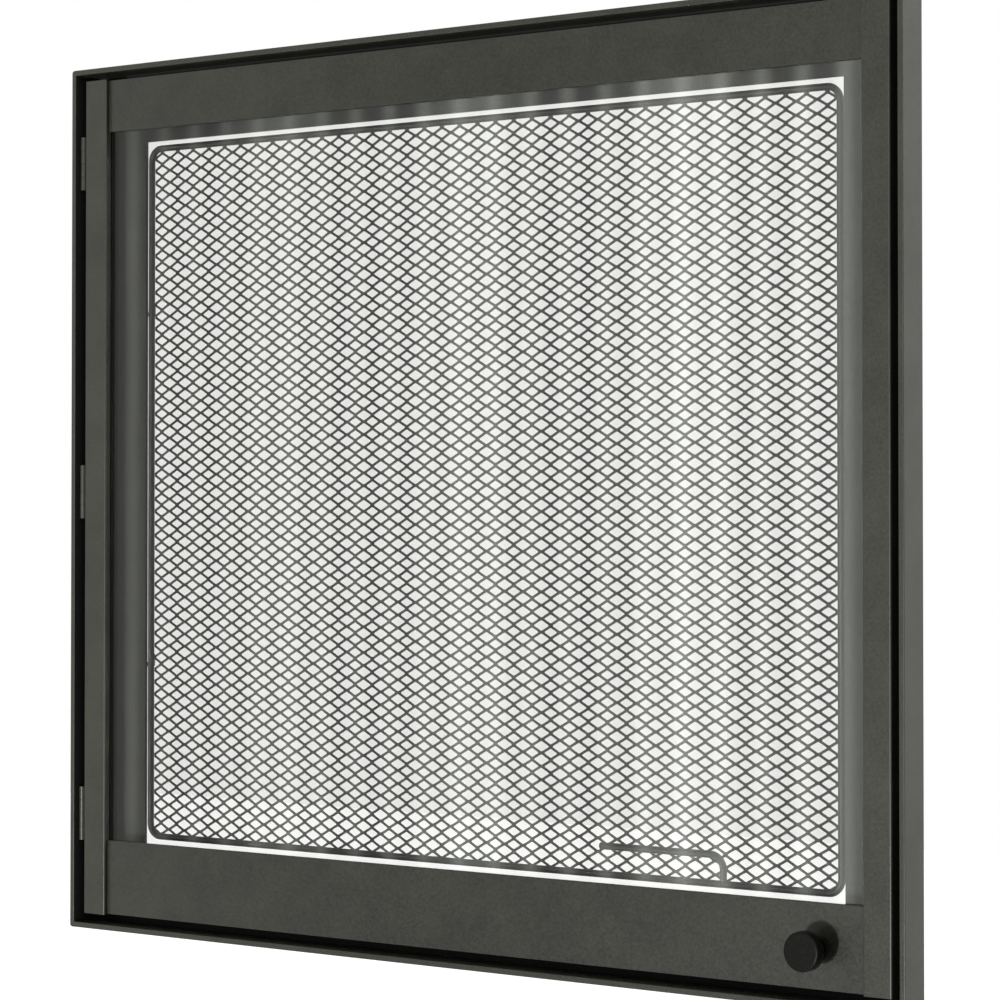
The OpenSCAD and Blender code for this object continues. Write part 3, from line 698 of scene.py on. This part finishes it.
class GLASSDOOR_OT_tape_glass(PieceOperator):
    """Fold the woven tape round the edge of the pane"""

    bl_idname = "glassdoor.tape_glass"
    bl_label = "Tape Glass Edge"

    def execute(self, context):
        low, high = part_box("glass_tape")
        pane_low, pane_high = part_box("glass_pane")
        thick = pane_low.x - low.x
        # The tape reaches 7 mm in from the pane's edge, and its corners are rubbed off.
        leg = 7 * MM + thick
        round_off = thick * 0.3
        front, back = low.y, high.y
        profile = [(round_off, front), (leg - round_off, front),
                   (leg, front + round_off), (leg, pane_low.y), (thick, pane_low.y),
                   (thick, pane_high.y), (leg, pane_high.y), (leg, back - round_off),
                   (leg - round_off, back), (round_off, back), (0.0, back - round_off),
                   (0.0, front + round_off)]
        fibre = woven_fibre("woven_glass_tape", tuple(self.colours.tape), thread_mm=0.8,
                            depth_mm=0.12)
        link_new_mesh("glass_tape_woven", mitred_ring(profile, low, high), fibre, "door",
                      "glass_tape")
        return {"FINISHED"}


class GLASSDOOR_OT_lay_rope(PieceOperator):
    """Lay the rope seal on the back plate round the door's edge"""

    bl_idname = "glassdoor.lay_rope"
    bl_label = "Lay Rope Seal"

    def execute(self, context):
        low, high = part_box("door_rope_seal")
        radius = (high.y - low.y) / 2
        path = rounded_path((low.x + radius, low.z + radius),
                            (high.x - radius, high.z - radius),
                            y=(low.y + high.y) / 2, bend=8 * MM, steps=8)
        carrier = carrier_object("rope_path", path)
        fibre = woven_fibre("braided_glass_rope", tuple(self.colours.rope), thread_mm=0.7,
                            depth_mm=0.15)
        sizes = self.sizes
        mesh = run_tree(carrier, rope_tree(),
                        {"Radius": radius, "Lay": sizes.rope_lay, "Step": sizes.rope_step,
                         "Strands": sizes.rope_strands, "Groove": sizes.rope_groove,
                         "Material": fibre})
        bpy.data.objects.remove(carrier)
        link_new_mesh("door_rope_seal_laid", mesh, fibre, "casing", "door_rope_seal")
        return {"FINISHED"}


class GLASSDOOR_OT_paint_screen_rod(PieceOperator):
    """Paint the screen's rod, pull and hooks"""

    bl_idname = "glassdoor.paint_screen_rod"
    bl_label = "Paint Screen Rod"

    def execute(self, context):
        paint = painted_steel("black_painted_round_bar", tuple(self.colours.screen),
                              roughness=0.5, peel_mm=1.2, shine=0.3)
        for name in ("screen_frame", "screen_pull", "screen_hooks"):
            wear_material(name, paint)
        return {"FINISHED"}


class GLASSDOOR_OT_expand_screen(PieceOperator):
    """Make the expanded metal of the spark screen"""

    bl_idname = "glassdoor.expand_screen"
    bl_label = "Expand Screen Mesh"

    def execute(self, context):
        sizes = self.sizes
        low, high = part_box("screen_mesh")
        paint = painted_steel("black_painted_expanded_metal", tuple(self.colours.screen),
                              roughness=0.5, peel_mm=0.9, shine=0.3)
        pitch_x, pitch_z = sizes.mesh_pitch_x, sizes.mesh_pitch_z
        # The grid reaches a cell past the sheet on every side, and is cut back to it.
        first_x = math.floor((low.x - sizes.mesh_start_x) / pitch_x) - 1
        last_x = math.ceil((high.x - sizes.mesh_start_x) / pitch_x) + 1
        first_z = math.floor((low.z - sizes.mesh_start_z) / pitch_z) - 1
        last_z = math.ceil((high.z - sizes.mesh_start_z) / pitch_z) + 1
        cell = carrier_object("cell", mesh_cell(sizes))
        carrier = carrier_object("screen_grid")
        middle = (sizes.mesh_start_x + pitch_x * (first_x + last_x) / 2, low.y,
                  sizes.mesh_start_z + pitch_z * (first_z + last_z) / 2)
        mesh = run_tree(carrier, repeat_tree(),
                        {"Cell": cell, "Columns": last_x - first_x + 1,
                         "Rows": last_z - first_z + 1, "Width": pitch_x * (last_x - first_x),
                         "Height": pitch_z * (last_z - first_z), "Middle": middle,
                         "Material": paint})
        bpy.data.objects.remove(carrier)
        bpy.data.objects.remove(cell)
        trim_to_box(mesh, low, high)
        link_new_mesh("screen_expanded_metal", mesh, paint, "screen", "screen_mesh")
        return {"FINISHED"}


# The sensor in millimetres, and the nearest and furthest that the camera sees, in metres.
SENSOR_WIDTH = 36.0
CAMERA_REACH = (0.05, 60.0)

# Ways that the lamps' light travels. The key light comes from slightly below level, and
# the side light from the right, behind and above. A sun's distance changes nothing.
KEY_TRAVELS = (0.09, 0.97, 0.22)
SIDE_TRAVELS = (-0.75, -0.5, -0.43)
SIDE_SIZE = math.radians(25)
SUN_DISTANCE = 3

# The floor: half its side in metres, its grey, and the share of white that it glows with
# where it is seen directly, and again where it is seen directly or mirrored.
FLOOR_HALF = 14.0
FLOOR_GREY = 0.72
FLOOR_LIFT = 0.325

# The folded cloth: ends across, place in depth, lowest and highest point, and strips.
CLOTH_LEFT, CLOTH_RIGHT, CLOTH_Y = -3.5, 0.3, -2.5
CLOTH_LOW, CLOTH_HIGH = -2.3, 1.8
CLOTH_STRIPS = 1080
CLOTH_TINT = (0.96, 1.0, 0.93, 1.0)

# Its brightness: the plain ends beyond the folds, each as where it begins and its level,
# with how soft their edges are; the cloth between folds; wide and narrow folds, each as a
# pitch in metres and a level; and the share of light at the left and right of the folds.
LEFT_END = (-2.89, 2.20)
RIGHT_END = (-0.94, 0.75)
END_EDGE = 0.012
CLOTH_LEVEL = 0.12
WIDE_FOLDS = (0.47, 0.35)
NARROW_FOLDS = (0.083, 0.30)
SHARE_LEFT, SHARE_RIGHT = 0.4, 1.6


def fold_glow(x):
    """Brightness of the folded cloth at x: two even rows of folds laid over each other,
    under a light that grows from left to right."""
    glow = CLOTH_LEVEL
    for pitch, level in (WIDE_FOLDS, NARROW_FOLDS):
        glow += level * (0.5 + 0.5 * math.cos(2 * math.pi * x / pitch)) ** 2
    across = (x - LEFT_END[0]) / (RIGHT_END[0] - LEFT_END[0])
    glow *= SHARE_LEFT + (SHARE_RIGHT - SHARE_LEFT) * across
    for (start, level), side in ((LEFT_END, -1), (RIGHT_END, 1)):
        share = 1 / (1 + math.exp(-side * (x - start) / END_EDGE))
        glow += (level - glow) * share
    return glow


def straight_through(tree, path):
    """1 for a ray that has only passed through glass on its way from the camera. The
    number of bounces is whole, so under a half means none."""
    bounced = add_node(tree, "ShaderNodeMath",
                       {0: path["Diffuse Depth"], 1: path["Glossy Depth"]}, operation="ADD")
    clear = add_node(tree, "ShaderNodeMath", {0: bounced.outputs[0], 1: 0.5},
                     operation="LESS_THAN")
    return add_node(tree, "ShaderNodeMath",
                    {0: path["Is Transmission Ray"], 1: clear.outputs[0]},
                    operation="MULTIPLY").outputs[0]


def seen_directly(tree, path):
    """1 where the background is seen by the camera, also through glass."""
    return add_node(tree, "ShaderNodeMath",
                    {0: straight_through(tree, path), 1: path["Is Camera Ray"]},
                    operation="MAXIMUM").outputs[0]


def seen_plainly(tree, path):
    """1 where the background is seen by the camera or in a reflection, and 0 where it only
    lights a surface, also one behind the glass."""
    mirrored = add_node(tree, "ShaderNodeMath",
                        {0: path["Is Glossy Ray"], 1: path["Is Reflection Ray"]},
                        operation="MULTIPLY")
    return add_node(tree, "ShaderNodeMath",
                    {0: seen_directly(tree, path), 1: mirrored.outputs[0]},
                    operation="MAXIMUM").outputs[0]


class GLASSDOOR_OT_set_stage(bpy.types.Operator):
    """Set the camera, floor, lights and the folded cloth that the glass mirrors"""

    bl_idname = "glassdoor.set_stage"
    bl_label = "Set Stage"

    def add_camera(self, stage):
        """The camera at the photograph's place and angle."""
        data = bpy.data.cameras.new("camera")
        data.lens = stage.camera_lens
        data.sensor_width = SENSOR_WIDTH
        data.shift_y = stage.camera_shift
        data.clip_start, data.clip_end = CAMERA_REACH
        camera = bpy.data.objects.new("camera", data)
        camera.location = stage.camera_place
        camera.rotation_euler = (math.pi / 2 + stage.camera_pitch, 0.0, stage.camera_yaw)
        bpy.context.scene.collection.objects.link(camera)
        bpy.context.scene.camera = camera

    def add_floor(self, stage):
        """A plain pale floor, far enough down to lie under the picture."""
        height = cad_box[0].z - stage.floor_drop
        mesh = bpy.data.meshes.new("floor")
        corners = ((-1, -1), (1, -1), (1, 1), (-1, 1))
        mesh.from_pydata([(x * FLOOR_HALF, y * FLOOR_HALF, height) for x, y in corners], [],
                         [(0, 1, 2, 3)])
        floor = bpy.data.objects.new("floor", mesh)
        bpy.context.scene.collection.objects.link(floor)
        material, tree = new_material("pale_studio_floor")
        matt = add_node(tree, "ShaderNodeBsdfDiffuse",
                        Color=(FLOOR_GREY, FLOOR_GREY, FLOOR_GREY, 1.0))
        path = add_node(tree, "ShaderNodeLightPath").outputs
        views = add_node(tree, "ShaderNodeMath",
                         {0: seen_directly(tree, path), 1: seen_plainly(tree, path)},
                         operation="ADD")
        lift = add_node(tree, "ShaderNodeMath", {0: views.outputs[0], 1: FLOOR_LIFT},
                        operation="MULTIPLY")
        glow = add_node(tree, "ShaderNodeEmission", {"Strength": lift.outputs[0]})
        both = add_node(tree, "ShaderNodeAddShader", {0: matt.outputs[0], 1: glow.outputs[0]})
        finish_surface(tree, both.outputs[0])
        mesh.materials.append(material)
        # The key light comes from slightly below level, so the floor lets it by.
        floor.visible_shadow = False

    def add_cloth(self):
        """A cloth with light folds, out to the front left, seen only as a reflection."""
        points, glows, faces = [], [], []
        for i in range(CLOTH_STRIPS + 1):
            x = CLOTH_LEFT + (CLOTH_RIGHT - CLOTH_LEFT) * i / CLOTH_STRIPS
            points += [(x, CLOTH_Y, CLOTH_LOW), (x, CLOTH_Y, CLOTH_HIGH)]
            glows += [fold_glow(x)] * 2
        for a in range(0, 2 * CLOTH_STRIPS, 2):
            faces.append((a, a + 1, a + 3, a + 2))
        mesh = bpy.data.meshes.new("folded_cloth")
        mesh.from_pydata(points, [], faces)
        glow = mesh.attributes.new("glow", "FLOAT", "POINT")
        glow.data.foreach_set("value", glows)
        cloth = bpy.data.objects.new("folded_cloth", mesh)
        bpy.context.scene.collection.objects.link(cloth)
        material, tree = new_material("lit_cloth")
        level = add_node(tree, "ShaderNodeAttribute", attribute_name="glow")
        lit = add_node(tree, "ShaderNodeEmission", {"Strength": level.outputs["Fac"]},
                       Color=CLOTH_TINT)
        path = add_node(tree, "ShaderNodeLightPath").outputs
        unseen = add_node(tree, "ShaderNodeBsdfTransparent")
        shader = add_node(tree, "ShaderNodeMixShader",
                          {0: straight_through(tree, path), 1: lit.outputs[0],
                           2: unseen.outputs[0]})
        finish_surface(tree, shader.outputs[0])
        mesh.materials.append(material)
        cloth.visible_camera = False
        cloth.visible_diffuse = False
        cloth.visible_shadow = False

    def add_sun(self, name, strength, size, travels):
        """A lamp whose light travels along one direction."""
        data = bpy.data.lights.new(name, "SUN")
        data.energy = strength
        data.angle = size
        lamp = bpy.data.objects.new(name, data)
        lamp.rotation_euler = Vector(travels).to_track_quat("-Z", "Y").to_euler()
        lamp.location = -SUN_DISTANCE * Vector(travels)
        bpy.context.scene.collection.objects.link(lamp)

    def light_world(self, stage):
        """A white background that lights surfaces only with the fill."""
        world = bpy.data.worlds.new("studio")
        bpy.context.scene.world = world
        world.use_nodes = True
        tree = world.node_tree
        tree.nodes.clear()
        path = add_node(tree, "ShaderNodeLightPath").outputs
        level = add_node(tree, "ShaderNodeMapRange", {"Value": seen_plainly(tree, path)},
                         To_Min=stage.fill, To_Max=1.0)
        shader = add_node(tree, "ShaderNodeBackground", {"Strength": level.outputs["Result"]},
                          Color=(1.0, 1.0, 1.0, 1.0))
        add_node(tree, "ShaderNodeOutputWorld", {"Surface": shader.outputs[0]})

    def execute(self, context):
        stage = context.scene.door_stage
        self.add_camera(stage)
        self.add_floor(stage)
        self.add_cloth()
        self.add_sun("key", stage.key_strength, stage.key_size, KEY_TRAVELS)
        self.add_sun("side", stage.side_strength, SIDE_SIZE, SIDE_TRAVELS)
        self.light_world(stage)
        context.scene.view_settings.view_transform = "Standard"
        return {"FINISHED"}


# In the order that they run.
OPERATORS = (
    GLASSDOOR_OT_paint_frames,
    GLASSDOOR_OT_black_fasteners,
    GLASSDOOR_OT_finish_knob,
    GLASSDOOR_OT_glaze,
    GLASSDOOR_OT_tape_glass,
    GLASSDOOR_OT_lay_rope,
    GLASSDOOR_OT_paint_screen_rod,
    GLASSDOOR_OT_expand_screen,
    GLASSDOOR_OT_set_stage,
)


class GLASSDOOR_PT_panel(bpy.types.Panel):
    """Lists the glass door's operators and settings"""

    bl_idname = "GLASSDOOR_PT_panel"
    bl_label = "Glass Door"
    bl_space_type = "VIEW_3D"
    bl_region_type = "UI"
    bl_category = "Glass Door"

    def draw(self, context):
        for operator in OPERATORS:
            self.layout.operator(operator.bl_idname)
        for group in (context.scene.door_colours, context.scene.door_sizes,
                      context.scene.door_stage):
            box = self.layout.box()
            for name in group.bl_rna.properties.keys():
                if name not in ("rna_type", "name"):
                    box.prop(group, name)


GROUPS = (DoorColours, DoorSizes, DoorStage)
CLASSES = GROUPS + OPERATORS + (GLASSDOOR_PT_panel,)


def register():
    for item in CLASSES:
        bpy.utils.register_class(item)
    bpy.types.Scene.door_colours = PointerProperty(type=DoorColours)
    bpy.types.Scene.door_sizes = PointerProperty(type=DoorSizes)
    bpy.types.Scene.door_stage = PointerProperty(type=DoorStage)


def unregister():
    del bpy.types.Scene.door_stage
    del bpy.types.Scene.door_sizes
    del bpy.types.Scene.door_colours
    for item in reversed(CLASSES):
        bpy.utils.unregister_class(item)


def main():
    """Finishes every piece and sets the stage."""
    register()
    for operator in OPERATORS:
        group, name = operator.bl_idname.split(".")
        getattr(getattr(bpy.ops, group), name)()


if __name__ == "__main__":
    main()
